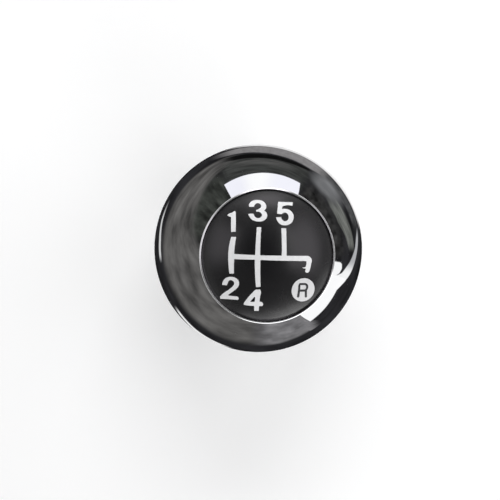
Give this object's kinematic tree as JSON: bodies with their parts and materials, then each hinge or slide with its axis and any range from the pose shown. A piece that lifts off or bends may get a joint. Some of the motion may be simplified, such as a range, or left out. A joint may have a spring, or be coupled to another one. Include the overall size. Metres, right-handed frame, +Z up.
{
  "type": "gear shift knob",
  "caption": "Ball-shaped gear shift knob with a plated shell, a domed black shift pattern disc let into its top, and a slotted sleeve inside that grips the lever.",
  "frame": {"origin": "centre of the collar's lower face, on the lever's axis, at the mouth of the lever hole", "axes": "+Z up along the lever towards the pattern disc, +Y towards the top of the shift pattern, +X to its right"},
  "size_m": [0.055, 0.055, 0.0539],
  "materials": {
    "chrome_plating": "polished plating",
    "disc_black": "satin",
    "marking_white": "painted",
    "core_black": "as moulded",
    "collar_black": "fine grain",
    "sleeve_nylon": "as moulded",
    "spring_steel": "bright drawn",
    "pad_rubber": "matt"
  },
  "bodies": {
    "root": {"ball_shell": "chrome_plating", "pattern_disc": "disc_black", "gate_lines": "marking_white", "reverse_spot": "marking_white", "core_moulding": "core_black", "base_collar": "collar_black", "grip_sleeve": "sleeve_nylon", "spring_rings": "spring_steel", "stop_pad": "pad_rubber"}
  },
  "joints": []
}
